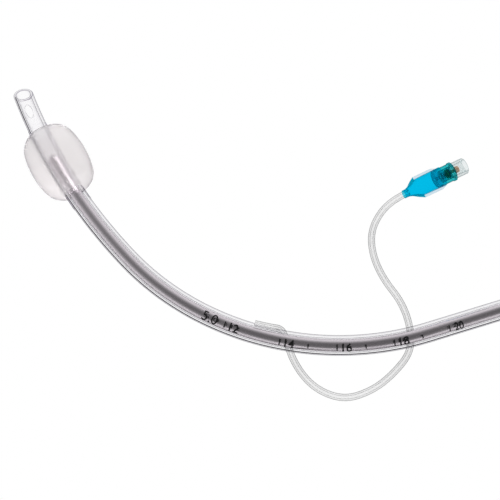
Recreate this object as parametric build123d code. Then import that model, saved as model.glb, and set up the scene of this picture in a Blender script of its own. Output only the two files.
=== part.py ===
from build123d import *
import os
from math import cos, degrees, pi, radians, sin, tan

# A cuffed oral endotracheal tube, size 5.0, lying on a table with a stylet in its bore.
# All sizes are in millimetres. Stations are distances along the tube's axis from its leading tip.

# Main tube
BORE = 5.0
TUBE_WALL = 0.95
TUBE_LENGTH = 245.0
BEVEL_DEG = 38.0
EYE_STATION = 10.0
EYE_LENGTH = 5.6
EYE_WIDTH = 2.5

# The tube's curve on the table: a gentle arc behind the tip, a tighter one, then a straight run
LAYOUT_CENTRE = (29.57, 8.42)
TIP_PLACE = (-81.55, 60.54)
TIP_HEADING_DEG = -70.74
GENTLE_RADIUS = 208.5
GENTLE_LENGTH = 79.6
TIGHT_RADIUS = 95.9
TIGHT_LENGTH = 111.9

# Inflation lumen, a fine hole in the wall on the inside of the curve, with a port under the cuff
LUMEN_RADIUS = 0.25
PORT_STATION = 36.0
NOTCH_WALL_LEFT = 0.4

# Cuff, inflated
CUFF_START = 21.6
CUFF_LENGTH = 26.0
CUFF_OD = 20.6
CUFF_WALL = 0.25
CUFF_CROWN_RADIUS = 34.0
CUFF_SHOULDER_RADIUS = 6.8
CUFF_NECK_SINK = 0.5
FRONT_SLEEVE = 2.6
REAR_SLEEVE = 5.6

# Connector with the 15 mm breathing cone
SPIGOT_LENGTH = 12.0
SPIGOT_STRETCH = 0.45
SPIGOT_LEAD = 1.0
SPIGOT_LEAD_DEPTH = 0.2
FLARE_LENGTH = 2.2
FLANGE_THICKNESS = 2.2
FLANGE_WIDTH = 22.0
FLANGE_HEIGHT = 16.4
FLANGE_CORNER = 4.0
CONE_LENGTH = 16.5
CONE_MOUTH_RADIUS = 7.54
CONE_TAPER = 1 / 80
CONNECTOR_WALL = 1.25
FUNNEL_LENGTH = 8.0
FUNNEL_EDGE = 0.2
CONNECTOR_THROAT_RADIUS = BORE / 2 - 0.05

# Stylet, a bendable rod held in the bore
STYLET_OD = 0.84 * BORE
STYLET_TIP_STATION = 31.6
STYLET_STANDOUT = 6.0
STYLET_BEND_RADIUS = 9.0
STYLET_HANDLE = 30.0

# Inflation line: it leaves the tube's wall, dips under the tube, and lies on the table in a loop
LINE_OD = 2.4
LINE_FLOOR_GAP = 0.02
LINE_UNDER_TUBE_GAP = 0.1
LINE_CROSSING_STATION = 143.0
LINE_SEATED = 2.0
# Station along the tube, distance to the inside of its curve, height over its axis
LINE_LEAVES_TUBE = [
    (131.0, 3.2, 0.8),
    (136.5, 3.5, 0.5),
    (140.5, 4.9, -1.9),
]
# Place, and lift over the height at which the line lies on the table
LINE_ROUTE = [
    (12.2, -36.4, 0.0),
    (15.6, -46.4, 0.0),
    (22.0, -54.6, 0.0),
    (31.6, -58.5, 0.0),
    (41.4, -54.7, 0.0),
    (48.6, -48.2, 0.0),
    (54.4, -40.2, 0.0),
    (54.4, -30.4, 0.0),
    (51.6, -21.0, 0.0),
    (46.0, -12.6, 0.0),
    (42.4, -3.4, 0.0),
    (41.8, 6.3, 0.0),
    (45.4, 14.2, 0.68),
]
LINE_APPROACH = 3.5

# Pilot balloon and valve: stations along their own axis, from the balloon's tail
TAIL_PLACE = (53.63, 20.35)
PILOT_HEADING_DEG = 28.6
RIM_FLOOR_GAP = 0.02
BALLOON_WALL = 0.25
BALLOON_TAIL = 2.6
BALLOON_TAIL_FLARE = 0.1
BALLOON_SHOULDER = 6.2
BALLOON_FULLEST = 10.4
BALLOON_WAIST = 13.4
BALLOON_END = 15.6
BALLOON_HALF_WIDTH = 4.6
BALLOON_HALF_HEIGHT = 2.5
BALLOON_FRONT_LOW = 0.2
BALLOON_REAR_HIGH = 0.3

HOUSING_START = 12.6
HOUSING_END = 19.9
HOUSING_RADIUS = 3.2
HOUSING_WALL = 1.0
HOUSING_FLOOR = 15.0
HOUSING_INLET_RADIUS = 0.6
RIM_RADIUS = HOUSING_RADIUS + 0.25
RIM_LENGTH = 0.8
HOUSING_EDGE = 0.3

SOCKET_END = 25.0
SOCKET_RADIUS = HOUSING_RADIUS - 0.3
SOCKET_SPIGOT = 1.6
SOCKET_SEAT_THICKNESS = 0.7
SOCKET_SEAT_RADIUS = 1.0
SOCKET_THROAT_STEP = 0.6
LUER_MOUTH_RADIUS = 2.135
LUER_TAPER = 0.03
SOCKET_EDGE = 0.4

SEAT_GAP = 0.02
SEAL_THICKNESS = 0.5
SEAL_RADIUS = 1.6
DISC_THICKNESS = 0.5
STEM_RADIUS = 0.55
GUIDE_LENGTH = 0.9
HEAD_RADIUS = 1.15
HEAD_LENGTH = 1.7
HEAD_DEPTH = 2.8
HEAD_CONE = 0.4
HEAD_EDGE = 0.2
SPRING_WIRE = 0.25
SPRING_RADIUS = 1.15
SPRING_TURNS = 2.5
SPRING_GAP = 0.02

TUBE_OD = BORE + 2 * TUBE_WALL
TUBE_RADIUS = TUBE_OD / 2
BEVEL_STATION = TUBE_RADIUS / tan(radians(BEVEL_DEG))
LUMEN_OFFSET = BORE / 2 + TUBE_WALL / 2
NOTCH_RADIUS = BORE / 2 + NOTCH_WALL_LEFT
CUFF_MIDDLE = CUFF_START + CUFF_LENGTH / 2
UP = Vector(0, 0, 1)


def laid(place, height=0):
    """A place on the table, moved so that the origin is under the object's middle."""
    return Vector(place[0] - LAYOUT_CENTRE[0], place[1] - LAYOUT_CENTRE[1], height)


def curve_segments():
    """The tube's curve as (start station, start place, heading in radians, radius or None, length)."""
    heading = radians(TIP_HEADING_DEG)
    place = laid(TIP_PLACE)
    station = 0.0
    segments = []
    straight = TUBE_LENGTH - GENTLE_LENGTH - TIGHT_LENGTH + CONE_LENGTH + STYLET_HANDLE
    runs = [(GENTLE_RADIUS, GENTLE_LENGTH), (TIGHT_RADIUS, TIGHT_LENGTH), (None, straight)]
    for radius, length in runs:
        segments.append((station, place, heading, radius, length))
        if radius:
            turned = heading + length / radius
            place = place + Vector(sin(turned) - sin(heading), cos(heading) - cos(turned), 0) * radius
            heading = turned
        station += length
    return segments


CURVE = curve_segments()


def section_plane(station):
    """The plane across the tube at a station: X to the inside of the curve, Y up, Z towards the connector."""
    start, place, heading, radius, _ = [part for part in CURVE if part[0] <= station][-1]
    run = station - start
    if radius:
        turned = heading + run / radius
        place = place + Vector(sin(turned) - sin(heading), cos(heading) - cos(turned), 0) * radius
        heading = turned
    else:
        place = place + Vector(cos(heading), sin(heading), 0) * run
    return Plane(place, x_dir=(-sin(heading), cos(heading), 0), z_dir=(cos(heading), sin(heading), 0))


def along_tube(section, first, last):
    """Carries a flat section along the tube's curve from one station to another."""
    solid = None
    for start, _, _, radius, length in CURVE:
        begin = max(first, start)
        end = min(last, start + length)
        if end <= begin:
            continue
        plane = section_plane(begin)
        face = plane * section
        if radius:
            axis = Axis(plane.origin + plane.x_dir * radius, UP)
            piece = revolve(face, axis=axis, revolution_arc=degrees((end - begin) / radius))
        else:
            piece = extrude(face, amount=end - begin)
        solid = piece if solid is None else solid + piece
    return solid


def turned_about(plane, outline):
    """A round piece from (radius, station) points, turned about the plane's Z."""
    wire = Polyline(*[(radius, 0, station) for radius, station in outline], close=True)
    return plane * revolve(make_face(wire), axis=Axis.Z)


def beyond_bevel():
    """What the bevel takes off: it faces up, so the tip's leading edge is its underside."""
    across = section_plane(BEVEL_STATION)
    slope = radians(BEVEL_DEG)
    outward = UP * cos(slope) - across.z_dir * sin(slope)
    bevel = Plane(across.origin, x_dir=across.x_dir, z_dir=outward)
    return extrude(bevel * Rectangle(4 * TUBE_OD, 4 * TUBE_OD), amount=2 * TUBE_OD)


def side_eye():
    """The oval eye opposite the bevel, in the tube's underside."""
    at_eye = section_plane(EYE_STATION)
    eye = Plane(at_eye.origin, x_dir=at_eye.z_dir, z_dir=-UP)
    return extrude(eye * Ellipse(EYE_LENGTH / 2, EYE_WIDTH / 2), amount=TUBE_OD)


def make_tube(notch_station, seated_line):
    """The main tube: bevelled tip, side eye, inflation lumen in its wall and a flared connector end."""
    ring_end = TUBE_LENGTH - SPIGOT_LENGTH - FLARE_LENGTH
    body = along_tube(Circle(TUBE_RADIUS) - Circle(BORE / 2), 0, ring_end)
    body -= beyond_bevel()
    body -= side_eye()
    body -= seated_line

    body -= along_tube(Pos(LUMEN_OFFSET, 0) * Circle(LUMEN_RADIUS), PORT_STATION, notch_station + LUMEN_RADIUS)
    at_port = section_plane(PORT_STATION + LUMEN_RADIUS)
    port = Plane(at_port.origin + at_port.x_dir * LUMEN_OFFSET, x_dir=at_port.z_dir, z_dir=at_port.x_dir)
    body -= extrude(port * Circle(LUMEN_RADIUS), amount=TUBE_WALL)

    bore = BORE / 2
    flare = [
        (bore, -SPIGOT_LENGTH - FLARE_LENGTH),
        (TUBE_RADIUS, -SPIGOT_LENGTH - FLARE_LENGTH),
        (TUBE_RADIUS + SPIGOT_STRETCH, -SPIGOT_LENGTH),
        (TUBE_RADIUS + SPIGOT_STRETCH, 0),
        (bore + SPIGOT_STRETCH, 0),
        (bore + SPIGOT_STRETCH, -SPIGOT_LENGTH),
    ]
    return body + turned_about(section_plane(TUBE_LENGTH), flare)


def barrel(inset):
    """The cuff's inflated form about its own straight axis, drawn in by an inset."""
    half = CUFF_LENGTH / 2 - inset
    top = CUFF_OD / 2 - inset
    neck = TUBE_RADIUS - CUFF_NECK_SINK
    crown = CUFF_CROWN_RADIUS - inset
    shoulder = CUFF_SHOULDER_RADIUS - inset
    # The crown's centre is on the mid-line, and the shoulder arc meets both the crown and the flat end
    rise = top - crown
    reach = half - shoulder
    drop = ((crown - shoulder) ** 2 - reach**2) ** 0.5
    centre = (reach, rise + drop)
    scale = crown / (crown - shoulder)
    touch = (reach * scale, rise + drop * scale)
    side = (half, centre[1])
    crown_mid = (0, top)
    bend = Vector(touch[0] - centre[0], touch[1] - centre[1]).normalized() + Vector(1, 0)
    bend = bend.normalized() * shoulder
    shoulder_mid = (centre[0] + bend.X, centre[1] + bend.Y)
    outline = [
        ThreePointArc((-touch[0], touch[1]), crown_mid, touch),
        ThreePointArc(touch, shoulder_mid, side),
        Line(side, (half, neck)),
        Line((half, neck), (-half, neck)),
        Line((-half, neck), (-side[0], side[1])),
        ThreePointArc((-side[0], side[1]), (-shoulder_mid[0], shoulder_mid[1]), (-touch[0], touch[1])),
    ]
    return revolve(make_face(outline), axis=Axis.X)


def make_cuff():
    front = section_plane(CUFF_START).origin
    rear = section_plane(CUFF_START + CUFF_LENGTH).origin
    axis = (rear - front).normalized()
    place = Plane((front + rear) * 0.5, x_dir=axis, z_dir=UP)
    cuff = place * (barrel(0) - barrel(CUFF_WALL))
    before = CUFF_START - FRONT_SLEEVE
    after = CUFF_START + CUFF_LENGTH + REAR_SLEEVE
    cuff -= along_tube(Circle(TUBE_RADIUS), before, after)
    sleeve = Circle(TUBE_RADIUS + CUFF_WALL) - Circle(TUBE_RADIUS)
    cuff += along_tube(sleeve, before, CUFF_START + CUFF_WALL)
    return cuff + along_tube(sleeve, CUFF_START + CUFF_LENGTH - CUFF_WALL, after)


def make_connector():
    """The moulded connector: a spigot for the tube, a winged flange and the 15 mm breathing cone."""
    end = FLANGE_THICKNESS + CONE_LENGTH
    root = CONE_MOUTH_RADIUS + CONE_LENGTH * CONE_TAPER
    spigot = BORE / 2 + SPIGOT_STRETCH
    body = [
        (0, -SPIGOT_LENGTH),
        (spigot - SPIGOT_LEAD_DEPTH, -SPIGOT_LENGTH),
        (spigot, -SPIGOT_LENGTH + SPIGOT_LEAD),
        (spigot, 0),
        (root, 0),
        (root, FLANGE_THICKNESS),
        (CONE_MOUTH_RADIUS, end),
        (0, end),
    ]
    mouth = CONE_MOUTH_RADIUS - CONNECTOR_WALL
    funnel_end = end - FUNNEL_LENGTH
    hollow = [
        (0, -SPIGOT_LENGTH - 1),
        (CONNECTOR_THROAT_RADIUS, -SPIGOT_LENGTH - 1),
        (CONNECTOR_THROAT_RADIUS, FLANGE_THICKNESS),
        (mouth - FUNNEL_EDGE, funnel_end),
        (mouth, end + 1),
        (0, end + 1),
    ]
    place = section_plane(TUBE_LENGTH)
    flange = extrude(RectangleRounded(FLANGE_WIDTH, FLANGE_HEIGHT, FLANGE_CORNER), amount=FLANGE_THICKNESS)
    return turned_about(place, body) + place * flange - turned_about(place, hollow)


def make_stylet():
    """A satin rod with rounded ends, bent over behind the connector so that it can't slip in."""
    radius = STYLET_OD / 2
    mouth = TUBE_LENGTH + FLANGE_THICKNESS + CONE_LENGTH
    bend_station = mouth + STYLET_STANDOUT
    rod = along_tube(Circle(radius), STYLET_TIP_STATION + radius, bend_station)
    rod += Pos(section_plane(STYLET_TIP_STATION + radius).origin) * Sphere(radius)
    at_bend = section_plane(bend_station)
    turn = Axis(at_bend.origin + at_bend.x_dir * STYLET_BEND_RADIUS, UP)
    rod += revolve(at_bend * Circle(radius), axis=turn, revolution_arc=90)
    corner = at_bend.origin + at_bend.x_dir * STYLET_BEND_RADIUS + at_bend.z_dir * STYLET_BEND_RADIUS
    handle = Plane(corner, x_dir=UP, z_dir=at_bend.x_dir)
    rod += extrude(handle * Circle(radius), amount=STYLET_HANDLE)
    return rod + Pos(corner + at_bend.x_dir * STYLET_HANDLE) * Sphere(radius)


def plane_on(cuff_height, line_height, flange_height):
    """The tube's plane with its axis at these heights over its three supports."""
    heights = [(CUFF_MIDDLE, cuff_height), (LINE_CROSSING_STATION, line_height), (TUBE_LENGTH, flange_height)]
    seats = [section_plane(station).origin + UP * height for station, height in heights]
    normal = (seats[1] - seats[0]).cross(seats[2] - seats[0]).normalized()
    height = seats[0].dot(normal) / normal.Z
    along = Vector(1, 0, -normal.X / normal.Z).normalized()
    return Plane((0, 0, height), x_dir=along, z_dir=normal)


def table_plane():
    """The tube's plane, tipped so that cuff, inflation line and flange carry it on the table."""
    on_line = LINE_FLOOR_GAP + LINE_OD + LINE_UNDER_TUBE_GAP + TUBE_RADIUS
    level = plane_on(CUFF_OD / 2, on_line, FLANGE_HEIGHT / 2)
    # The tipped flange stands on a lower corner, and the cuff's crown on a place beside its middle
    flange_tip = abs(level.z_dir.dot(section_plane(TUBE_LENGTH).x_dir))
    cuff_tip = abs(level.z_dir.dot(section_plane(CUFF_MIDDLE).z_dir))
    on_corner = FLANGE_HEIGHT / 2 + (FLANGE_WIDTH / 2 - FLANGE_CORNER) * flange_tip
    on_crown = CUFF_OD / 2 + (CUFF_CROWN_RADIUS - CUFF_OD / 2) * (1 - (1 - cuff_tip**2) ** 0.5)
    return plane_on(on_crown, on_line, on_corner)


def pilot_plane():
    """The pilot balloon's axis: X to its left, Y up, Z from its tail to the luer mouth."""
    heading = radians(PILOT_HEADING_DEG)
    place = laid(TAIL_PLACE, RIM_RADIUS + RIM_FLOOR_GAP)
    return Plane(place, x_dir=(-sin(heading), cos(heading), 0), z_dir=(cos(heading), sin(heading), 0))


def line_path():
    """The inflation line's route as straight runs joined by tangent arcs, and the arcs' radii."""
    pilot = pilot_plane()
    table = table_plane()
    points = []
    for station, inward, up in LINE_LEAVES_TUBE:
        across = section_plane(station)
        points.append(table.from_local_coords(across.origin + across.x_dir * inward + UP * up))
    lying = LINE_FLOOR_GAP + LINE_OD / 2
    points += [laid(point, lying + point[2]) for point in LINE_ROUTE]
    points.append(pilot.origin - pilot.z_dir * LINE_APPROACH)
    points.append(pilot.origin + pilot.z_dir * LINE_SEATED)
    radii = []
    for before, here, after in zip(points, points[1:], points[2:]):
        turn = radians((here - before).get_angle(after - here))
        shorter = min((here - before).length, (after - here).length)
        radii.append(0.45 * shorter / tan(turn / 2))
    return FilletPolyline(*points, radius=radii), radii


def make_line():
    path, radii = line_path()
    start = Plane(path @ 0, z_dir=path % 0)
    line = sweep(start * Circle(LINE_OD / 2), path=path)
    plain = pi * (LINE_OD / 2) ** 2 * path.length
    print("line radii", [round(radius, 1) for radius in radii])
    print("line length", round(path.length, 1), "volume", round(line.volume, 1), "of", round(plain, 1))
    return line


def balloon_form(inset, first, last):
    """The pilot balloon's pillow between two stations, drawn in by an inset."""
    tail = LINE_OD / 2 + BALLOON_WALL - inset
    stations = [
        (first, tail, tail),
        (BALLOON_TAIL, tail + BALLOON_TAIL_FLARE, tail + BALLOON_TAIL_FLARE),
        (BALLOON_SHOULDER, BALLOON_HALF_WIDTH - inset, BALLOON_HALF_HEIGHT - inset - BALLOON_FRONT_LOW),
        (BALLOON_FULLEST, BALLOON_HALF_WIDTH - inset, BALLOON_HALF_HEIGHT - inset + BALLOON_REAR_HIGH),
        (BALLOON_WAIST, BALLOON_HALF_WIDTH - inset, HOUSING_RADIUS + BALLOON_WALL - inset),
        (last, HOUSING_RADIUS + BALLOON_WALL - inset, HOUSING_RADIUS + BALLOON_WALL - inset),
    ]
    sections = [Pos(0, 0, station) * Ellipse(wide, high) for station, wide, high in stations]
    return loft(sections, ruled=True)


def make_balloon(pilot):
    """The film pillow, with the line seated in its tail and the valve housing in its open end."""
    pillow = balloon_form(0, 0, BALLOON_END) - balloon_form(BALLOON_WALL, BALLOON_TAIL - 0.01, BALLOON_END)
    pillow -= extrude(Circle(LINE_OD / 2), amount=BALLOON_TAIL)
    return pilot * pillow


def make_housing(pilot):
    """The valve's outer body: a rim at the mouth, a floor with an air inlet, and a bore for the spring."""
    bore = HOUSING_RADIUS - HOUSING_WALL
    outline = [
        (HOUSING_INLET_RADIUS, HOUSING_START),
        (HOUSING_RADIUS - HOUSING_EDGE, HOUSING_START),
        (HOUSING_RADIUS, HOUSING_START + HOUSING_EDGE),
        (HOUSING_RADIUS, HOUSING_END - RIM_LENGTH),
        (RIM_RADIUS, HOUSING_END - RIM_LENGTH),
        (RIM_RADIUS, HOUSING_END),
        (bore, HOUSING_END),
        (bore, HOUSING_FLOOR),
        (HOUSING_INLET_RADIUS, HOUSING_FLOOR),
    ]
    return turned_about(pilot, outline)


def make_socket(pilot):
    """The clear insert: a spigot in the housing, the valve seat and a tapered luer mouth."""
    seat = HOUSING_END - SOCKET_SPIGOT
    spigot = HOUSING_RADIUS - HOUSING_WALL
    floor = seat + SOCKET_SEAT_THICKNESS
    outline = [
        (SOCKET_SEAT_RADIUS, seat),
        (spigot, seat),
        (spigot, HOUSING_END),
        (SOCKET_RADIUS, HOUSING_END),
        (SOCKET_RADIUS, SOCKET_END - SOCKET_EDGE),
        (SOCKET_RADIUS - SOCKET_EDGE, SOCKET_END),
        (LUER_MOUTH_RADIUS, SOCKET_END),
        (LUER_MOUTH_RADIUS - LUER_TAPER * (SOCKET_END - HOUSING_END), HOUSING_END),
        (spigot - SOCKET_THROAT_STEP, floor),
        (SOCKET_SEAT_RADIUS, floor),
    ]
    return turned_about(pilot, outline)


def seal_face():
    return HOUSING_END - SOCKET_SPIGOT - SEAT_GAP


def make_poppet(pilot):
    """The push-open valve stem: a disc under the seal, a stem through the seat and a head in the mouth."""
    top = seal_face() - SEAL_THICKNESS
    disc = top - DISC_THICKNESS
    head = SOCKET_END - HEAD_DEPTH
    outline = [
        (0, disc - GUIDE_LENGTH),
        (STEM_RADIUS, disc - GUIDE_LENGTH),
        (STEM_RADIUS, disc),
        (SEAL_RADIUS, disc),
        (SEAL_RADIUS, top),
        (STEM_RADIUS, top),
        (STEM_RADIUS, head - HEAD_LENGTH),
        (HEAD_RADIUS, head - HEAD_LENGTH + HEAD_CONE),
        (HEAD_RADIUS, head - HEAD_EDGE),
        (HEAD_RADIUS - HEAD_EDGE, head),
        (0, head),
    ]
    return turned_about(pilot, outline)


def make_seal(pilot):
    outline = [
        (STEM_RADIUS, seal_face() - SEAL_THICKNESS),
        (SEAL_RADIUS, seal_face() - SEAL_THICKNESS),
        (SEAL_RADIUS, seal_face()),
        (STEM_RADIUS, seal_face()),
    ]
    return turned_about(pilot, outline)


def make_spring(pilot):
    """The valve spring, between the housing's floor and the disc."""
    wire = SPRING_WIRE / 2
    low = HOUSING_FLOOR + wire + SPRING_GAP
    high = seal_face() - SEAL_THICKNESS - DISC_THICKNESS - wire - SPRING_GAP
    coil = Helix(pitch=(high - low) / SPRING_TURNS, height=high - low, radius=SPRING_RADIUS)
    section = Plane(coil @ 0, z_dir=coil % 0) * RegularPolygon(wire, 8)
    return pilot * (Pos(0, 0, low) * sweep(section, path=coil, is_frenet=True))


def make_all():
    table = table_plane()
    line = make_line()
    notch_station = LINE_LEAVES_TUBE[0][0]
    core = along_tube(Circle(NOTCH_RADIUS), notch_station - 2 * TUBE_OD, notch_station + 3 * TUBE_OD)
    seated_line = table.location.inverse() * line - core
    on_table = {
        "tube": make_tube(notch_station, seated_line),
        "cuff": make_cuff(),
        "breathing_connector": make_connector(),
        "stylet": make_stylet(),
        "inflation_line": seated_line,
    }
    nodes = {name: table.location * solid for name, solid in on_table.items()}
    pilot = pilot_plane()
    nodes["pilot_balloon"] = make_balloon(pilot)
    nodes["valve_housing"] = make_housing(pilot)
    nodes["luer_socket"] = make_socket(pilot)
    nodes["valve_poppet"] = make_poppet(pilot)
    nodes["valve_seal"] = make_seal(pilot)
    nodes["valve_spring"] = make_spring(pilot)
    return nodes


os.makedirs("parts", exist_ok=True)
for name, solid in make_all().items():
    export_step(solid, f"parts/{name}.step")
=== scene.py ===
import bmesh
import bpy
from math import acos, asin, cos, pi, radians, sin, tan
from mathutils import Matrix, Vector


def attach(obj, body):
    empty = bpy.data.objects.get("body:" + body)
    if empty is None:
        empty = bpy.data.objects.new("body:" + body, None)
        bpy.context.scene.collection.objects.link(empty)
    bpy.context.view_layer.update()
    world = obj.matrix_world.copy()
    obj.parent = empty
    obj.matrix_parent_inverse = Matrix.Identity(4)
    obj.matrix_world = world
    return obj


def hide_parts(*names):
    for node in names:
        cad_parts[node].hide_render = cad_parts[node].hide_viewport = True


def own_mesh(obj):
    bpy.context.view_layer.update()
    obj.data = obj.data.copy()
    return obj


# A cuffed endotracheal tube with a stylet in its bore, on a pale table.
# Sizes are in millimetres, and each mesh is scaled to metres as it is made.
# Stations are distances along the tube's axis from its leading tip.

MM = 0.001
SHARP_DEG = 38.0

# Fineness of the meshes: sides round a piece, and steps along it in millimetres or radians
ROUND_SIDES = 96
STYLET_SIDES = 64
CORE_SIDES = 48
ROD_SIDES = 24
LUMEN_SIDES = 12
WIRE_SIDES = 10
EYE_SIDES = 40
TIP_STEP = 0.6
TUBE_FIRST_STEP = 1.4
TUBE_STEP = 1.5
CORE_STEP = 1.0
SLEEVE_STEP = 1.3
CROWN_TURN = 0.02
SHOULDER_TURN = 0.06
BEND_TURN = 0.08
CAP_TURN = 0.15
CAP_LAST_TURN = 1.5
SPRING_TURN = 0.26

# Camera and its aim, which is also the middle of the layout
AIM = Vector((-29.57, -8.42, 0.0))
CAMERA_ELEVATION_DEG = 60.0
CAMERA_DISTANCE = 850.0
SENSOR = 36.0
LENS = 176.9
CLIP_START = 10.0
CLIP_END = 10000.0

# Table
TABLE_HALF_WIDTH = 1500.0
TABLE_COLOUR = (0.88, 0.88, 0.88, 1)
TABLE_WHITE = 1.0

# Lamps: name, place, width, height, power in watts
LAMPS = [
    ("Back lamp", (0.0, 900.0, 700.0), 1600.0, 900.0, 9.0),
    ("Front lamp", (0.0, -1100.0, 600.0), 1600.0, 900.0, 9.0),
]

# Room: its levels, and how far from its darkest direction they reach
ROOM_DARKEST_TOWARDS = (0.0, -0.5, 0.87)
ROOM_DARKEST = 0.17
ROOM_LIGHTEST = 1.0
ROOM_DARK_TO_DEG = 10.0
ROOM_LIGHT_FROM_DEG = 100.0

# Main tube
BORE = 5.0
TUBE_WALL = 0.95
TUBE_LENGTH = 245.0
BEVEL_DEG = 38.0
EYE_STATION = 10.0
EYE_LENGTH = 5.6
EYE_WIDTH = 2.5
TIP_RUN = 14.0
TIP_ROUNDING = 0.3

# The tube's curve: a gentle arc behind the tip, a tighter one, then a straight run
LAYOUT_CENTRE = (29.57, 8.42)
TIP_PLACE = (-81.55, 60.54)
TIP_HEADING_DEG = -70.74
GENTLE_RADIUS = 208.5
GENTLE_LENGTH = 79.6
TIGHT_RADIUS = 95.9
TIGHT_LENGTH = 111.9

# Inflation lumen in the wall on the inside of the curve, and the notch where the line enters it
LUMEN_RADIUS = 0.25
LUMEN_PAST_NOTCH = 1.0
PORT_STATION = 36.0
NOTCH_STATION = 131.0
NOTCH_WALL_LEFT = 0.4
CORE_BEFORE_NOTCH = 14.0
CORE_AFTER_NOTCH = 20.0

# Cuff, inflated
CUFF_START = 21.6
CUFF_LENGTH = 26.0
CUFF_OD = 20.6
CUFF_SKIN = 0.12
CUFF_OFFSET = 0.6
CUFF_CROWN_RADIUS = 34.0
CUFF_SHOULDER_RADIUS = 6.8
FRONT_SLEEVE = 2.6
REAR_SLEEVE = 5.6

# Connector and stylet
SPIGOT_LENGTH = 12.0
SPIGOT_STRETCH = 0.45
FLARE_LENGTH = 2.2
FLANGE_THICKNESS = 2.2
FLANGE_WIDTH = 22.0
FLANGE_HEIGHT = 16.4
FLANGE_CORNER = 4.0
CONE_LENGTH = 16.5
STYLET_OD = 4.2
STYLET_TIP_STATION = 31.6
STYLET_STANDOUT = 6.0
STYLET_BEND_RADIUS = 9.0
STYLET_HANDLE = 30.0

# Inflation line
LINE_OD = 2.4
LINE_BORE = 1.2
LINE_FLOOR_GAP = 0.02
LINE_UNDER_TUBE_GAP = 0.1
LINE_CROSSING_STATION = 143.0
LINE_SEATED = 2.0
LINE_SEAT_GAP = 0.01
LINE_SEAT_POINTS = 60
# Station along the tube, distance to the inside of its curve, height over its axis
LINE_LEAVES_TUBE = [
    (131.0, 3.2, 0.8),
    (136.5, 3.5, 0.5),
    (140.5, 4.9, -1.9),
]
# Place, and lift over the height at which the line lies on the table
LINE_ROUTE = [
    (12.2, -36.4, 0.0),
    (15.6, -46.4, 0.0),
    (22.0, -54.6, 0.0),
    (31.6, -58.5, 0.0),
    (41.4, -54.7, 0.0),
    (48.6, -48.2, 0.0),
    (54.4, -40.2, 0.0),
    (54.4, -30.4, 0.0),
    (51.6, -21.0, 0.0),
    (46.0, -12.6, 0.0),
    (42.4, -3.4, 0.0),
    (41.8, 6.3, 0.0),
    (45.4, 14.2, 0.68),
]
LINE_APPROACH = 3.5

# Pilot balloon and valve: stations along their own axis, from the balloon's tail
TAIL_PLACE = (53.63, 20.35)
PILOT_HEADING_DEG = 28.6
PILOT_AXIS_HEIGHT = 3.47
BALLOON_WELD = 1.2
BALLOON_WELD_HALF_THICKNESS = 0.12
# station, half width with the weld, half height
BALLOON_STATIONS = [
    (0.0, 1.45, 1.45),
    (1.2, 1.5, 1.45),
    (2.6, 2.1, 1.55),
    (4.4, 3.5, 2.0),
    (6.2, 4.6, 2.3),
    (8.4, 4.6, 2.6),
    (10.6, 4.6, 2.8),
    (13.4, 4.6, 3.3),
    (14.6, 4.0, 3.4),
    (15.6, 3.45, 3.45),
]
BALLOON_FRONT_ROWS = 4
SPRING_WIRE = 0.25
SPRING_RADIUS = 1.15
SPRING_TURNS = 2.5
SPRING_START = 15.145
SPRING_END = 17.135

# Print on the tube's upper side, turned a little to the outside of the curve.
# The scale's steps are the photograph's, which are a little shorter than 10 mm.
PRINT_ANGLE_DEG = 126.0
PRINT_FIRST_STATION = 112.0
PRINT_FIRST_ANGLE_DEG = 113.0
PRINT_TURNED_STATION = 142.0
PRINT_LIFT = 0.02
PRINT_MESH = 0.25
SCALE_FIRST = 12
SCALE_LAST = 20
SCALE_START = 121.95
SCALE_STEP = 9.52
STROKE = 0.42
BAR_HEIGHT = 2.3
TICK_HEIGHT = 1.4
NUMBER_AFTER_BAR = 1.7
NUMBER_WIDTH = 3.2
NUMBER_HEIGHT = 3.0
NUMBER_WEIGHT = 0.02
SIZE_NUMBER = "5.0"
SIZE_NUMBER_STATION = 113.7
SIZE_NUMBER_WIDTH = 5.5
SIZE_NUMBER_HEIGHT = 3.5
SIZE_NUMBER_WEIGHT = 0.008

# The dark line that runs the tube's length in its wall, on the outside of the curve
WALL_LINE_ANGLE_DEG = 200.0
WALL_LINE_RADIUS = 0.17
WALL_LINE_FIRST = 4.0

# Film of the cuff: its colours, the roughness of the glass that blurs, the share that is scattered,
# and the share of the rest that goes straight on. Its grey gloss paints shade along the cuff's outline.
FILM_COLOUR = (1.0, 0.985, 0.985, 1)
FILM_GLOSS_AND_OUTLINE_SHADE = (0.4, 0.38, 0.43, 1)
FILM_SHADOW = (0.95, 0.95, 0.95, 1)
FILM_IOR = 1.1
FILM_BLUR = 0.55
FILM_SCATTERED = 0.2
FILM_STRAIGHT = 0.42
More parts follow.
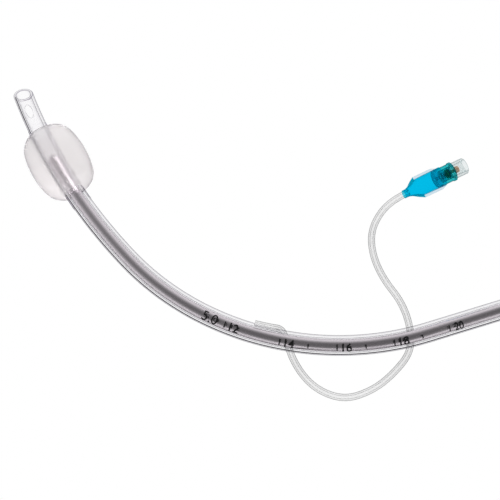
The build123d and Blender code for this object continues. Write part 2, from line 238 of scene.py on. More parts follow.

# Clear plastics: colour let through, scattered colour and its share, colour and roughness of the gloss,
# and how closely the gloss keeps to the outline. The gloss colours are dim, so the gloss both reflects
# and paints shade along each outline.
CLEAR_PLASTICS = {
    "Line PVC": ((0.985, 0.985, 0.985, 1), (0.85, 0.85, 0.85, 1), 0.04, (0.17, 0.17, 0.18, 1), 0.15, 2.0),
    "Clear PVC": ((0.996, 0.994, 0.998, 1), (0.9, 0.9, 0.9, 1), 0.004, (0.24, 0.22, 0.28, 1), 0.05, 3.3),
    # The cut edge's grey tint is painted shade that draws the outline of the bevelled cut.
    "Cut edge shade": ((0.55, 0.53, 0.58, 1), (0.5, 0.5, 0.5, 1), 0.05, (0.24, 0.22, 0.28, 1), 0.2, 4.0),
    "Blue film": ((0.03, 0.74, 0.93, 1), (0.0, 0.5, 0.8, 1), 0.08, (0.0, 0.3, 0.4, 1), 0.2, 3.0),
    "Welded film": ((0.86, 0.93, 0.97, 1), (0.6, 0.8, 0.9, 1), 0.1, (0.2, 0.4, 0.5, 1), 0.2, 2.0),
    "Film edge": ((0.06, 0.64, 0.77, 1), (0.0, 0.25, 0.35, 1), 0.15, (0.0, 0.12, 0.18, 1), 0.2, 4.0),
    "Teal plastic": ((0.2, 0.8, 0.83, 1), (0.0, 0.24, 0.28, 1), 0.1, (0.0, 0.1, 0.15, 1), 0.15, 3.0),
    "Clear plastic": ((0.94, 0.96, 0.96, 1), (0.95, 1.0, 1.0, 1), 0.12, (0.3, 0.4, 0.42, 1), 0.1, 2.5),
}

# Solid materials: colour, roughness, fineness and strength of the grain, and 1 for metal
SOLID_MATERIALS = {
    "Satin metal": ((0.8, 0.75, 0.785, 1), 0.2, 900.0, 0.02, 1.0),
    "Spring steel": ((0.3, 0.3, 0.32, 1), 0.3, 900.0, 0.02, 1.0),
    "Black ink": ((0.005, 0.005, 0.006, 1), 0.5, 900.0, 0.05, 0.0),
    "Dark wall line": ((0.03, 0.025, 0.04, 1), 0.5, 900.0, 0.05, 0.0),
    "Amber plastic": ((0.55, 0.17, 0.0, 1), 0.3, 600.0, 0.05, 0.0),
    "Black rubber": ((0.02, 0.02, 0.05, 1), 0.6, 600.0, 0.2, 0.0),
    "White plastic": ((0.72, 0.74, 0.76, 1), 0.3, 300.0, 0.05, 0.0),
}

TUBE_RADIUS = BORE / 2 + TUBE_WALL
BEVEL_STATION = TUBE_RADIUS / tan(radians(BEVEL_DEG))
CUFF_MIDDLE = CUFF_START + CUFF_LENGTH / 2
UP = Vector((0, 0, 1))


def laid(place, height=0.0):
    """A place on the table, moved so that the origin is under the object's middle."""
    return Vector((place[0] - LAYOUT_CENTRE[0], place[1] - LAYOUT_CENTRE[1], height))


def curve_segments():
    """The tube's curve as (start station, start place, heading in radians, radius or None)."""
    heading = radians(TIP_HEADING_DEG)
    place = laid(TIP_PLACE)
    station = 0.0
    segments = []
    for radius, length in [(GENTLE_RADIUS, GENTLE_LENGTH), (TIGHT_RADIUS, TIGHT_LENGTH), (None, 0.0)]:
        segments.append((station, place, heading, radius))
        if radius:
            turned = heading + length / radius
            place = place + Vector((sin(turned) - sin(heading), cos(heading) - cos(turned), 0)) * radius
            heading = turned
        station += length
    return segments


CURVE = curve_segments()


def section(station):
    """The tube's middle at a station, and the directions to the inside of its curve and along it."""
    start, place, heading, radius = [part for part in CURVE if part[0] <= max(station, 0.0)][-1]
    run = station - start
    if radius:
        turned = heading + run / radius
        place = place + Vector((sin(turned) - sin(heading), cos(heading) - cos(turned), 0)) * radius
        heading = turned
    else:
        place = place + Vector((cos(heading), sin(heading), 0)) * run
    return place, Vector((-sin(heading), cos(heading), 0)), Vector((cos(heading), sin(heading), 0))


def plane_on(cuff_height, line_height, flange_height):
    """The tube's plane with its axis at these heights over its three supports: a matrix."""
    heights = [
        (CUFF_MIDDLE, cuff_height),
        (LINE_CROSSING_STATION, line_height),
        (TUBE_LENGTH, flange_height),
    ]
    seats = [section(station)[0] + UP * height for station, height in heights]
    normal = (seats[1] - seats[0]).cross(seats[2] - seats[0]).normalized()
    height = seats[0].dot(normal) / normal.z
    along = Vector((1, 0, -normal.x / normal.z)).normalized()
    return framed(Vector((0, 0, height)), along, normal)


def framed(origin, x_dir, z_dir):
    """The matrix that carries an upright frame to this origin and these directions."""
    turn = Matrix((x_dir, z_dir.cross(x_dir), z_dir)).transposed()
    return Matrix.Translation(origin) @ turn.to_4x4()


def table_matrix():
    """The tube's plane, tipped so that cuff, inflation line and flange carry it on the table."""
    on_line = LINE_FLOOR_GAP + LINE_OD + LINE_UNDER_TUBE_GAP + TUBE_RADIUS
    normal = plane_on(CUFF_OD / 2, on_line, FLANGE_HEIGHT / 2).col[2].to_3d()
    flange_tip = abs(normal.dot(section(TUBE_LENGTH)[1]))
    cuff_tip = abs(normal.dot(section(CUFF_MIDDLE)[2]))
    on_corner = FLANGE_HEIGHT / 2 + (FLANGE_WIDTH / 2 - FLANGE_CORNER) * flange_tip
    on_crown = CUFF_OD / 2 + (CUFF_CROWN_RADIUS - CUFF_OD / 2) * (1 - (1 - cuff_tip**2) ** 0.5)
    return plane_on(on_crown, on_line, on_corner)


def pilot_matrix():
    """The pilot balloon's axis: X to its left, Y up, Z from its tail to the luer mouth."""
    heading = radians(PILOT_HEADING_DEG)
    left = Vector((-sin(heading), cos(heading), 0))
    return framed(laid(TAIL_PLACE, PILOT_AXIS_HEIGHT), left, Vector((cos(heading), sin(heading), 0)))


TABLE = table_matrix()
PILOT = pilot_matrix()


def in_tube(station, inward=0.0, up=0.0):
    """A point beside the tube's axis, in the row frame."""
    middle, inside, _ = section(station)
    return TABLE @ (middle + inside * inward + UP * up)


def around(radius, angle):
    """Inward and upward parts of a radius at an angle from the inside of the curve."""
    return radius * cos(angle), radius * sin(angle)


def spread(first, last, step):
    """Evenly spaced numbers from first to last, no further apart than step."""
    count = max(1, round(abs(last - first) / step + 0.499))
    return [first + (last - first) * number / count for number in range(count + 1)]


def turn_angles(sides):
    return [2 * pi * side / sides for side in range(sides)]


def finish_mesh(mesh):
    """Normals outwards, and smooth faces with sharp edges kept."""
    shape = bmesh.new()
    shape.from_mesh(mesh)
    bmesh.ops.recalc_face_normals(shape, faces=shape.faces)
    shape.to_mesh(mesh)
    shape.free()
    mesh.polygons.foreach_set("use_smooth", [True] * len(mesh.polygons))
    mesh.set_sharp_from_angle(angle=radians(SHARP_DEG))
    mesh.update()


def mesh_piece(name, points, faces):
    mesh = bpy.data.meshes.new(name)
    mesh.from_pydata([point * MM for point in points], [], faces)
    finish_mesh(mesh)
    piece = bpy.data.objects.new(name, mesh)
    bpy.context.scene.collection.objects.link(piece)
    return piece


def ring_piece(name, rings, joined):
    """A skin over rings of points, joined from the last ring to the first or closed by flat ends."""
    sides = len(rings[0])
    points = [point for ring in rings for point in ring]
    faces = []
    for row in range(len(rings) if joined else len(rings) - 1):
        low = row * sides
        high = (row + 1) % len(rings) * sides
        for side in range(sides):
            following = (side + 1) % sides
            faces.append((low + side, low + following, high + following, high + side))
    if not joined:
        faces.append(tuple(range(sides)))
        faces.append(tuple(range(len(points) - sides, len(points))))
    return mesh_piece(name, points, faces)


def open_ends(piece):
    """Takes the flat ends off a piece made of rings."""
    shape = bmesh.new()
    shape.from_mesh(piece.data)
    ends = [face for face in shape.faces if len(face.verts) > 4]
    bmesh.ops.delete(shape, geom=ends, context="FACES_ONLY")
    shape.to_mesh(piece.data)
    shape.free()


def cut(piece, cutter):
    """Takes a cutter's solid away from a piece, and removes the cutter."""
    change = piece.modifiers.new("Cut", "BOOLEAN")
    change.operation = "DIFFERENCE"
    change.solver = "EXACT"
    change.object = cutter
    bpy.context.view_layer.update()
    shaped = piece.evaluated_get(bpy.context.evaluated_depsgraph_get())
    piece.data = bpy.data.meshes.new_from_object(shaped)
    piece.modifiers.clear()
    bpy.data.objects.remove(cutter)
    finish_mesh(piece.data)


def carried_sides(route):
    """Two directions across each point of a route, carried along it without twist."""
    sides = []
    side = None
    for number in range(len(route)):
        along = (route[min(number + 1, len(route) - 1)] - route[max(number - 1, 0)]).normalized()
        side = along.orthogonal() if side is None else side
        side = (side - along * side.dot(along)).normalized()
        sides.append((side, along.cross(side)))
    return sides


def rings_along(route, radii, sides):
    """Rings about a route, each with its own radius."""
    frames = carried_sides(route)
    rings = []
    for point, radius, (across, over) in zip(route, radii, frames):
        ring = [point + (across * cos(turn) + over * sin(turn)) * radius for turn in turn_angles(sides)]
        rings.append(ring)
    return rings


def rod(name, route, radius, sides=ROD_SIDES):
    return ring_piece(name, rings_along(route, [radius] * len(route), sides), joined=False)


# Camera, table and light

def make_camera():
    """Looks down at the photograph's angle."""
    camera = bpy.data.cameras.new("Camera")
    camera.sensor_width = SENSOR
    camera.lens = LENS
    holder = bpy.data.objects.new("Camera", camera)
    elevation = radians(CAMERA_ELEVATION_DEG)
    back = Vector((0, -cos(elevation), sin(elevation)))
    holder.location = (AIM + back * CAMERA_DISTANCE) * MM
    holder.rotation_euler = (pi / 2 - elevation, 0, 0)
    camera.clip_start = CLIP_START * MM
    camera.clip_end = CLIP_END * MM
    bpy.context.scene.collection.objects.link(holder)
    bpy.context.scene.camera = holder


def emptied(tree):
    """A node tree with nothing in it, as (nodes, links)."""
    tree.nodes.clear()
    return tree.nodes, tree.links


def new_material(name):
    material = bpy.data.materials.new(name)
    material.use_nodes = True
    nodes, links = emptied(material.node_tree)
    output = nodes.new("ShaderNodeOutputMaterial")
    return material, nodes, links, output.inputs["Surface"]


def mixed(nodes, links, first, second, factor):
    """Two shaders mixed by a number or by a socket."""
    mix = nodes.new("ShaderNodeMixShader")
    if isinstance(factor, float):
        mix.inputs[0].default_value = factor
    else:
        links.new(factor, mix.inputs[0])
    links.new(first, mix.inputs[1])
    links.new(second, mix.inputs[2])
    return mix.outputs[0]


def make_table():
    """A plain pale table, which the camera itself sees as white."""
    material, nodes, links, surface = new_material("White table")
    paint = nodes.new("ShaderNodeBsdfDiffuse")
    paint.inputs["Color"].default_value = TABLE_COLOUR
    white = nodes.new("ShaderNodeEmission")
    white.inputs["Strength"].default_value = TABLE_WHITE
    path = nodes.new("ShaderNodeLightPath")
    seen = mixed(nodes, links, paint.outputs[0], white.outputs[0], path.outputs["Is Camera Ray"])
    links.new(seen, surface)
    half = TABLE_HALF_WIDTH
    corners = []
    for x, y in [(-half, -half), (half, -half), (half, half), (-half, half)]:
        corners.append(Vector((x, y, -LINE_FLOOR_GAP)))
    table = mesh_piece("Table", corners, [(0, 1, 2, 3)])
    table.data.materials.append(material)


def make_lamps():
    """Large soft lamps behind and in front, which gloss and metal don't mirror."""
    for name, place, width, height, power in LAMPS:
        lamp = bpy.data.lights.new(name, "AREA")
        lamp.shape = "RECTANGLE"
        lamp.size = width * MM
        lamp.size_y = height * MM
        lamp.energy = power
        holder = bpy.data.objects.new(name, lamp)
        place = Vector(place)
        holder.location = place * MM
        holder.rotation_euler = (AIM - place).to_track_quat("-Z", "Y").to_euler()
        holder.visible_glossy = False
        bpy.context.scene.collection.objects.link(holder)


def make_world():
    """A light room that gets darker, little by little, to its darkest behind the camera."""
    world = bpy.data.worlds.new("Studio")
    bpy.context.scene.world = world
    world.use_nodes = True
    nodes, links = emptied(world.node_tree)
    direction = nodes.new("ShaderNodeTexCoord")
    aim = nodes.new("ShaderNodeVectorMath")
    aim.operation = "DOT_PRODUCT"
    aim.inputs[1].default_value = Vector(ROOM_DARKEST_TOWARDS).normalized()
    links.new(direction.outputs["Generated"], aim.inputs[0])
    fall = nodes.new("ShaderNodeMapRange")
    fall.interpolation_type = "SMOOTHSTEP"
    fall.inputs["From Min"].default_value = cos(radians(ROOM_LIGHT_FROM_DEG))
    fall.inputs["From Max"].default_value = cos(radians(ROOM_DARK_TO_DEG))
    fall.inputs["To Min"].default_value = ROOM_LIGHTEST
    fall.inputs["To Max"].default_value = ROOM_DARKEST
    links.new(aim.outputs["Value"], fall.inputs["Value"])
    light = nodes.new("ShaderNodeBackground")
    links.new(fall.outputs["Result"], light.inputs["Strength"])
    output = nodes.new("ShaderNodeOutputWorld")
    links.new(light.outputs[0], output.inputs["Surface"])


# Materials

def noise(nodes, links, scale):
    """A soft cloudy pattern fixed to the object, from 0 to 1."""
    place = nodes.new("ShaderNodeTexCoord")
    cloud = nodes.new("ShaderNodeTexNoise")
    cloud.inputs["Scale"].default_value = scale
    cloud.inputs["Detail"].default_value = 3.0
    links.new(place.outputs["Object"], cloud.inputs["Vector"])
    return cloud.outputs["Fac"]


def grain(nodes, links, scale, strength):
    """A fine uneven surface, as a normal."""
    bump = nodes.new("ShaderNodeBump")
    bump.inputs["Strength"].default_value = strength
    bump.inputs["Distance"].default_value = 0.0001
    links.new(noise(nodes, links, scale), bump.inputs["Height"])
    return bump.outputs["Normal"]


def uneven(nodes, links, scale, low, high, socket):
    """A value that drifts between two limits over the surface, such as the gloss."""
    spread_out = nodes.new("ShaderNodeMapRange")
    spread_out.inputs["To Min"].default_value = low
    spread_out.inputs["To Max"].default_value = high
    links.new(noise(nodes, links, scale), spread_out.inputs["Value"])
    links.new(spread_out.outputs["Result"], socket)


def outline_share(nodes, links, sharpness, least, most):
    """The share of gloss in a clear skin: little seen straight on, most along its outline."""
    facing = nodes.new("ShaderNodeLayerWeight")
    facing.inputs["Blend"].default_value = 0.5
    steep = nodes.new("ShaderNodeMath")
    steep.operation = "POWER"
    steep.inputs[1].default_value = sharpness
    links.new(facing.outputs["Facing"], steep.inputs[0])
    share = nodes.new("ShaderNodeMapRange")
    share.inputs["To Min"].default_value = least
    share.inputs["To Max"].default_value = most
    links.new(steep.outputs[0], share.inputs["Value"])
    return share.outputs["Result"]


def glossy(nodes, links, colour, roughness):
    """Gloss that drifts a little over the surface."""
    gloss = nodes.new("ShaderNodeBsdfGlossy")
    gloss.inputs["Color"].default_value = colour
    uneven(nodes, links, 150.0, roughness * 0.7, roughness * 1.3, gloss.inputs["Roughness"])
    return gloss.outputs[0]


def see_through(name, clear_colour, body_colour, scattered, gloss_and_outline_shade, roughness, sharpness):
    """Thin clear plastic: a tint, a little scattered colour, and dim gloss that reflects and paints shade
    along its outline.
    """
    material, nodes, links, surface = new_material(name)
    clear = nodes.new("ShaderNodeBsdfTransparent")
    clear.inputs["Color"].default_value = clear_colour
    scatter = nodes.new("ShaderNodeBsdfDiffuse")
    scatter.inputs["Color"].default_value = body_colour
    share = outline_share(nodes, links, sharpness, least=0.01, most=0.95)
    body = mixed(nodes, links, clear.outputs[0], scatter.outputs[0], scattered)
    # Dim gloss, most of it along the outline: reflection with painted shade.
    links.new(mixed(nodes, links, body, glossy(nodes, links, gloss_and_outline_shade, roughness), share), surface)
    return material


def frosted_film(name, colour, gloss_and_outline_shade, blur, scattered, straight):
    """A thin frosted skin, which blurs and scatters light and casts almost no shadow; its grey gloss paints
    shade along its outline.
    """
    material, nodes, links, surface = new_material(name)
    front = nodes.new("ShaderNodeBsdfDiffuse")
    front.inputs["Color"].default_value = colour
    back = nodes.new("ShaderNodeBsdfTranslucent")
    back.inputs["Color"].default_value = colour
    clear = nodes.new("ShaderNodeBsdfTransparent")
    clear.inputs["Color"].default_value = colour
    through = nodes.new("ShaderNodeBsdfGlass")
    through.inputs["Color"].default_value = colour
    through.inputs["IOR"].default_value = FILM_IOR
    uneven(nodes, links, 90.0, blur * 0.85, blur * 1.15, through.inputs["Roughness"])
    share = outline_share(nodes, links, sharpness=4.5, least=0.01, most=0.9)
    scatter = mixed(nodes, links, front.outputs[0], back.outputs[0], 0.85)
    passed = mixed(nodes, links, through.outputs[0], clear.outputs[0], straight)
    skin = mixed(nodes, links, passed, scatter, scattered)
    # Grey gloss, most of it along the outline: reflection with painted shade.
    seen = mixed(nodes, links, skin, glossy(nodes, links, gloss_and_outline_shade, 0.2), share)
    thin = nodes.new("ShaderNodeBsdfTransparent")
    thin.inputs["Color"].default_value = FILM_SHADOW
    path = nodes.new("ShaderNodeLightPath")
    links.new(mixed(nodes, links, seen, thin.outputs[0], path.outputs["Is Shadow Ray"]), surface)
    return material


def solid_material(name, colour, roughness, scale, strength, metal):
    """Solid plastic, ink, rubber or metal, with a fine grain."""
    material, nodes, links, surface = new_material(name)
    body = nodes.new("ShaderNodeBsdfPrincipled")
    body.inputs["Base Color"].default_value = colour
    body.inputs["Roughness"].default_value = roughness
    body.inputs["Metallic"].default_value = metal
    links.new(grain(nodes, links, scale, strength), body.inputs["Normal"])
    links.new(body.outputs[0], surface)
    return material


# The object's pieces

def settle(piece, material, slot, body, *nodes):
    """Gives a piece its material, sets it on its body and puts it in the place of CAD nodes; its slot is
    not used.
    """
    piece.data.materials.clear()
    piece.data.materials.append(material)
    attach(piece, body)
    if nodes:
        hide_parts(*nodes)
    return piece


def line_route():
    """Points along the inflation line, from one spline with the route as its control points."""
    lying = LINE_FLOOR_GAP + LINE_OD / 2
    points = [in_tube(*place) for place in LINE_LEAVES_TUBE]
    points += [laid(place, lying + place[2]) for place in LINE_ROUTE]
    points += [PILOT @ Vector((0, 0, station)) for station in (-LINE_APPROACH, LINE_SEATED)]
    curve = bpy.data.curves.new("Inflation line route", "CURVE")
    curve.dimensions = "3D"
    curve.resolution_u = 20
    spline = curve.splines.new("NURBS")
    spline.points.add(len(points) - 1)
    for control, point in zip(spline.points, points):
        control.co = (*(point * MM), 1.0)
    spline.order_u = 3
    spline.use_endpoint_u = True
    holder = bpy.data.objects.new("Inflation line route", curve)
    bpy.context.scene.collection.objects.link(holder)
    bpy.context.view_layer.update()
    found = bpy.data.meshes.new_from_object(holder)
    route = [vertex.co / MM for vertex in found.vertices]
    bpy.data.objects.remove(holder)
    return route


def notch_core():
    """The part of the tube that the notch leaves whole."""
    first = NOTCH_STATION - CORE_BEFORE_NOTCH
    last = NOTCH_STATION + CORE_AFTER_NOTCH
    route = [in_tube(station) for station in spread(first, last, CORE_STEP)]
    return rod("Core", route, BORE / 2 + NOTCH_WALL_LEFT, CORE_SIDES)


def make_line(route, material):
    """The inflation line, cut away where the notch's floor is."""
    outside = rings_along(route, [LINE_OD / 2] * len(route), ROD_SIDES)
    inside = rings_along(route, [LINE_BORE / 2] * len(route), ROD_SIDES)
    line = ring_piece("Inflation_line", outside + inside[::-1], joined=True)
    cut(line, notch_core())
    return settle(line, material, "line_pvc", "airway_tube", "inflation_line")


def tip_station(station, radius, angle):
    """Moves a ring's point back to the bevel, less and less until the tip's end is passed."""
    if station >= TIP_RUN:
        return station
    start = BEVEL_STATION + radius * sin(angle) / tan(radians(BEVEL_DEG))
    return start + station * (1 - start / TIP_RUN)


def tube_radii(station):
    """Outer and inner radius, which grow where the tube is stretched over the connector."""
    flare_end = TUBE_LENGTH - SPIGOT_LENGTH
    share = min(max((station - flare_end + FLARE_LENGTH) / FLARE_LENGTH, 0.0), 1.0)
    return TUBE_RADIUS + SPIGOT_STRETCH * share, BORE / 2 + SPIGOT_STRETCH * share


def mark_bevel_edges(tube):
    """Gives the edges of the bevelled cut their own material, the tube's second, whose darker tint is
    painted shade along the cut's outline.
    """
    start, inside, along = section(0.0)
    back = TABLE.inverted()
    for face in tube.data.polygons:
        offset = back @ (face.center / MM) - start
        depth = offset.dot(along) - BEVEL_STATION - offset.z / tan(radians(BEVEL_DEG))
        radius = (offset.dot(inside) ** 2 + offset.z**2) ** 0.5
        on_edge = abs(radius - BORE / 2 - TUBE_WALL / 2) > TUBE_WALL * 0.3
        if depth < TIP_ROUNDING and on_edge:
            face.material_index = 1


def make_tube(route, material, edge_shade_material):
    """The main tube with its bevelled tip, side eye, inflation lumen and notch."""
    angles = turn_angles(ROUND_SIDES)
    flare = [TUBE_LENGTH - SPIGOT_LENGTH - FLARE_LENGTH, TUBE_LENGTH - SPIGOT_LENGTH, TUBE_LENGTH]
    stations = [TIP_ROUNDING] + spread(TIP_STEP, TIP_RUN, TIP_STEP)
    stations += spread(TIP_RUN + TUBE_FIRST_STEP, flare[0], TUBE_STEP) + flare[1:]

    def ring(station, radius):
        return [in_tube(tip_station(station, radius, angle), *around(radius, angle)) for angle in angles]

    outside = [ring(station, tube_radii(station)[0]) for station in stations]
    inside = [ring(station, tube_radii(station)[1]) for station in stations]
    rim = []
    for turn in spread(0.0, pi, pi / 6)[1:-1]:
        rim.append(ring(TIP_ROUNDING * (1 - sin(turn)), BORE / 2 + TUBE_WALL / 2 * (1 - cos(turn))))
    tube = ring_piece("Main_tube", rim + outside + inside[::-1], joined=True)

    cut(tube, eye_cutter())
    lumen = spread(PORT_STATION, NOTCH_STATION + LUMEN_PAST_NOTCH, TUBE_STEP)
    lumen_route = [in_tube(station, BORE / 2 + TUBE_WALL / 2) for station in lumen]
    cut(tube, rod("Lumen", lumen_route, LUMEN_RADIUS, LUMEN_SIDES))
    seat = rod("Seat", route[:LINE_SEAT_POINTS], LINE_OD / 2 + LINE_SEAT_GAP)
    cut(seat, notch_core())
    cut(tube, seat)
    settle(tube, material, "clear_pvc", "airway_tube", "tube")
    tube.data.materials.append(edge_shade_material)
    mark_bevel_edges(tube)
    return tube


def eye_cutter():
    """A cutter for the oval side eye in the tube's underside."""
    rings = []
    for height in (0.0, -2 * TUBE_RADIUS):
        ring = []
        for turn in turn_angles(EYE_SIDES):
            station = EYE_STATION + EYE_LENGTH / 2 * cos(turn)
            ring.append(in_tube(station, EYE_WIDTH / 2 * sin(turn), height))
        rings.append(ring)
    return ring_piece("Eye", rings, joined=False)


def barrel_profile(neck):
    """The inflated cuff's (station, radius) points about its middle, down to its neck."""
    crown = CUFF_CROWN_RADIUS
    shoulder = CUFF_SHOULDER_RADIUS
    crown_centre = CUFF_OD / 2 - crown
    reach = CUFF_LENGTH / 2 - shoulder
    between = crown - shoulder
    shoulder_centre = crown_centre + (between**2 - reach**2) ** 0.5
    meet = asin(reach / between)
    last = acos((neck - shoulder_centre) / shoulder)
    half = []
    for turn in spread(0.0, meet, CROWN_TURN):
        half.append((crown * sin(turn), crown_centre + crown * cos(turn)))
    for turn in spread(meet, last, SHOULDER_TURN)[1:]:
        half.append((reach + shoulder * sin(turn), shoulder_centre + shoulder * cos(turn)))
    return [(-station, radius) for station, radius in half[:0:-1]] + half


def make_cuff(material, sleeve_material):
    """The inflated cuff: one skin, as a frosted barrel with clear sleeves that follow the tube."""
    front, rear = section(CUFF_START)[0], section(CUFF_START + CUFF_LENGTH)[0]
    axis = (rear - front).normalized()
    across = UP.cross(axis)
    middle = (front + rear) / 2 + across * CUFF_OFFSET
    neck = TUBE_RADIUS + CUFF_SKIN
    first = CUFF_START - FRONT_SLEEVE - CUFF_MIDDLE
    last = CUFF_START + CUFF_LENGTH + REAR_SLEEVE - CUFF_MIDDLE
    profile = barrel_profile(neck)
    before = [(station, neck) for station in spread(first, profile[0][0], SLEEVE_STEP)[:-1]]
    after = [(station, neck) for station in spread(profile[-1][0], last, SLEEVE_STEP)[1:]]

    rings = []
    for station, radius in before + profile + after:
        free = min((radius - neck) / 4, 1.0)
        on_tube, inward, _ = section(CUFF_MIDDLE + station)
        centre = on_tube.lerp(middle + axis * station, free)
        side = inward.lerp(across, free).normalized()
        ring = []
        for turn in turn_angles(ROUND_SIDES):
            ring.append(TABLE @ (centre + side * radius * cos(turn) + UP * radius * sin(turn)))
        rings.append(ring)
    cuff = ring_piece("Cuff", rings, joined=False)
    open_ends(cuff)
    settle(cuff, material, "cuff_film", "airway_tube", "cuff")
    cuff.data.materials.append(sleeve_material)
    for face in cuff.data.polygons:
        row = face.vertices[0] // ROUND_SIDES
        if row < len(before) or row >= len(before) + len(profile) - 1:
            face.material_index = 1
    return cuff


def make_stylet(material):
    """A satin rod with rounded ends, bent over behind the connector."""
    radius = STYLET_OD / 2
    bend = TUBE_LENGTH + FLANGE_THICKNESS + CONE_LENGTH + STYLET_STANDOUT
    route = [in_tube(station) for station in spread(STYLET_TIP_STATION + radius, bend, TUBE_STEP)]
    corner, inside, along = section(bend)
    for turn in spread(0.0, pi / 2, BEND_TURN)[1:]:
        away = inside * (STYLET_BEND_RADIUS * (1 - cos(turn))) + along * (STYLET_BEND_RADIUS * sin(turn))
        route.append(TABLE @ (corner + away))
    route.append(route[-1] + TABLE.to_3x3() @ inside * STYLET_HANDLE)

    def cap(end, outward):
        """Rings of a round end, as (point, radius) from the rod to its pole."""
        turns = spread(0.0, CAP_LAST_TURN, CAP_TURN)[1:]
        return [(end + outward * (radius * sin(turn)), radius * cos(turn)) for turn in turns]

    first = cap(route[0], (route[0] - route[1]).normalized())[::-1]
    last = cap(route[-1], (route[-1] - route[-2]).normalized())
    steps = first + [(point, radius) for point in route] + last
    rings = rings_along([step[0] for step in steps], [step[1] for step in steps], STYLET_SIDES)
    stylet = ring_piece("Stylet", rings, joined=False)
    return settle(stylet, material, "satin_metal", "airway_tube", "stylet")


def make_balloon(material, weld_material, front_material):
    """The pilot balloon: a film pillow with a flat welded edge, which is darker towards the line."""
    rings = []
    for station, half_width, half_height in BALLOON_STATIONS:
        weld = BALLOON_WELD * min(1.0, max(0.0, half_width - half_height) / BALLOON_WELD)
        pillow = half_width - weld
        flat = BALLOON_WELD_HALF_THICKNESS
        upper = [(half_width, flat)]
        for turn in spread(0.0, pi, pi / 24):
            upper.append((pillow * cos(turn), flat + (half_height - flat) * sin(turn)))
        upper.append((-half_width, flat))
        lower = [(side, -height) for side, height in upper[::-1]]
        rings.append([PILOT @ Vector((side, height, station)) for side, height in upper + lower])
    balloon = ring_piece("Pilot_balloon", rings, joined=False)
    open_ends(balloon)
    settle(balloon, material, "blue_film", "airway_tube", "pilot_balloon")
    balloon.data.materials.append(weld_material)
    balloon.data.materials.append(front_material)
    sides = len(rings[0])
    half = sides // 2
    edge = (0, 1, half - 2, half - 1, half, half + 1, sides - 2, sides - 1)
    for face in balloon.data.polygons:
        if min(face.vertices) % sides in edge and max(face.vertices) % sides in edge:
            face.material_index = 1 if min(face.vertices) >= BALLOON_FRONT_ROWS * sides else 2
    return balloon


def make_spring(material):
    """The valve spring at rest; the real one flattens as the stem is pushed in."""
    route = []
    for turn in spread(0.0, 2 * pi * SPRING_TURNS, SPRING_TURN):
        share = turn / (2 * pi * SPRING_TURNS)
        station = SPRING_START + (SPRING_END - SPRING_START) * share
        route.append(PILOT @ Vector((SPRING_RADIUS * cos(turn), SPRING_RADIUS * sin(turn), station)))
    spring = rod("Valve_spring", route, SPRING_WIRE / 2, WIRE_SIDES)
    settle(spring, material, "spring_steel", "airway_tube", "valve_spring")
    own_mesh(spring)
    return spring


def flat_number(words, width, height, weight):
    """A number as a flat mesh, with its lower left corner at the origin."""
    letters = bpy.data.curves.new("Number", "FONT")
    letters.body = words
    letters.offset = weight
    holder = bpy.data.objects.new("Number", letters)
    bpy.context.scene.collection.objects.link(holder)
    bpy.context.view_layer.update()
    found = bpy.data.meshes.new_from_object(holder)
    bpy.data.objects.remove(holder)
    low_x = min(vertex.co.x for vertex in found.vertices)
    high_x = max(vertex.co.x for vertex in found.vertices)
    low_y = min(vertex.co.y for vertex in found.vertices)
    high_y = max(vertex.co.y for vertex in found.vertices)
    for vertex in found.vertices:
        vertex.co.x = (vertex.co.x - low_x) / (high_x - low_x) * width
        vertex.co.y = (vertex.co.y - low_y) / (high_y - low_y) * height
    return found


def flat_stroke(width, height):
    mesh = bpy.data.meshes.new("Stroke")
    mesh.from_pydata([(0, 0, 0), (width, 0, 0), (width, height, 0), (0, height, 0)], [], [(0, 1, 2, 3)])
    return mesh


def print_marks():
    """The scale's marks as (station, height, flat mesh): bars with numbers at even steps, ticks between."""
    marks = []
    for step in range(SCALE_FIRST, SCALE_LAST + 1):
        station = SCALE_START + (step - SCALE_FIRST) * SCALE_STEP
        even = step % 2 == 0
        if even:
            number = flat_number(str(step), NUMBER_WIDTH, NUMBER_HEIGHT, NUMBER_WEIGHT)
            marks.append((station + NUMBER_AFTER_BAR, NUMBER_HEIGHT, number))
        if even or step > SCALE_FIRST + 1:
            height = BAR_HEIGHT if even else TICK_HEIGHT
            marks.append((station - STROKE / 2, height, flat_stroke(STROKE, height)))
    size = flat_number(SIZE_NUMBER, SIZE_NUMBER_WIDTH, SIZE_NUMBER_HEIGHT, SIZE_NUMBER_WEIGHT)
    marks.append((SIZE_NUMBER_STATION, SIZE_NUMBER_HEIGHT, size))
    return marks


def print_angle_deg(station):
    """The print starts nearer the inside of the curve, and turns to its place along the first numbers."""
    left = (PRINT_TURNED_STATION - station) / (PRINT_TURNED_STATION - PRINT_FIRST_STATION)
    return PRINT_ANGLE_DEG - (PRINT_ANGLE_DEG - PRINT_FIRST_ANGLE_DEG) * min(max(left, 0.0), 1.0)


def make_print(material):
    """The depth scale and the size number, wrapped on the tube."""
    points = []
    faces = []
    for station, height, mesh in print_marks():
        shape = bmesh.new()
        shape.from_mesh(mesh)
        for level in spread(0.0, height, PRINT_MESH)[1:-1]:
            everything = shape.verts[:] + shape.edges[:] + shape.faces[:]
            bmesh.ops.bisect_plane(shape, geom=everything, plane_co=(0, level, 0), plane_no=(0, 1, 0))
        shape.verts.index_update()
        start = len(points)
        radius = TUBE_RADIUS + PRINT_LIFT
        for corner in shape.verts:
            angle = radians(print_angle_deg(station)) - (corner.co.y - height / 2) / radius
            points.append(in_tube(station + corner.co.x, *around(radius, angle)))
        faces += [tuple(start + corner.index for corner in face.verts) for face in shape.faces]
        shape.free()
    scale = mesh_piece("Depth_scale", points, faces)
    return settle(scale, material, "clear_pvc", "airway_tube")


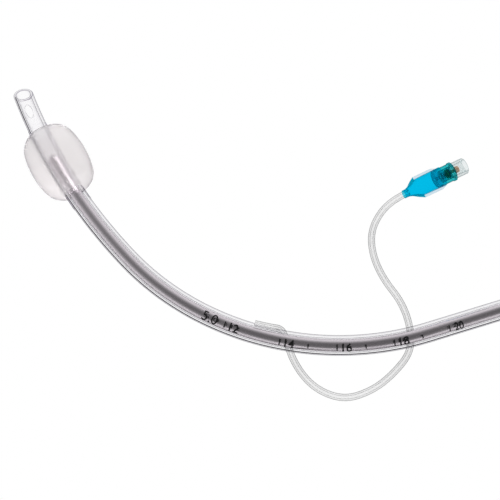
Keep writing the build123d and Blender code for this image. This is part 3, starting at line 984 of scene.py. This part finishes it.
def make_wall_line(material):
    """The dark line in the tube's wall, from near its tip to the connector."""
    place = around(BORE / 2 + TUBE_WALL / 2, radians(WALL_LINE_ANGLE_DEG))
    stations = spread(WALL_LINE_FIRST, TUBE_LENGTH - SPIGOT_LENGTH - FLARE_LENGTH, TUBE_STEP)
    route = [in_tube(station, *place) for station in stations]
    line = rod("Wall_line", route, WALL_LINE_RADIUS, WIRE_SIDES)
    return settle(line, material, "clear_pvc", "airway_tube")


def dress(frame, node, material):
    """Gives a CAD node its material."""
    piece = frame["nodes"][node]
    piece.data.materials.clear()
    piece.data.materials.append(material)
    return piece


def make_object(frame):
    """Every piece of the object, the inflation line among them."""
    clear = {name: see_through(name, *values) for name, values in CLEAR_PLASTICS.items()}
    solid = {name: solid_material(name, *values) for name, values in SOLID_MATERIALS.items()}
    film = frosted_film("Cuff film", FILM_COLOUR, FILM_GLOSS_AND_OUTLINE_SHADE, FILM_BLUR, FILM_SCATTERED, FILM_STRAIGHT)

    route = line_route()
    line = make_line(route, clear["Line PVC"])
    make_tube(route, clear["Clear PVC"], clear["Cut edge shade"])
    make_cuff(film, clear["Clear PVC"])
    make_stylet(solid["Satin metal"])
    make_print(solid["Black ink"])
    make_wall_line(solid["Dark wall line"])
    balloon = make_balloon(clear["Blue film"], clear["Welded film"], clear["Film edge"])
    spring = make_spring(solid["Spring steel"])
    housing = dress(frame, "valve_housing", clear["Teal plastic"])
    socket = dress(frame, "luer_socket", clear["Clear plastic"])
    poppet = dress(frame, "valve_poppet", solid["Amber plastic"])
    seal = dress(frame, "valve_seal", solid["Black rubber"])
    dress(frame, "breathing_connector", solid["White plastic"])


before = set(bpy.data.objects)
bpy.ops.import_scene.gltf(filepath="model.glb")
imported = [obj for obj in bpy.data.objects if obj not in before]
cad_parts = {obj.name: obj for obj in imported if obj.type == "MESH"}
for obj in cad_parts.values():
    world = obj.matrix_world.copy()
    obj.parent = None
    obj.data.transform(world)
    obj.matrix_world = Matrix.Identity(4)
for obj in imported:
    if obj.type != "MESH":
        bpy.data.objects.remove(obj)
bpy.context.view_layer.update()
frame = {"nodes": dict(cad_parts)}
bpy.context.scene.view_settings.view_transform = "Standard"
make_camera()
make_table()
make_lamps()
make_world()
make_object(frame)
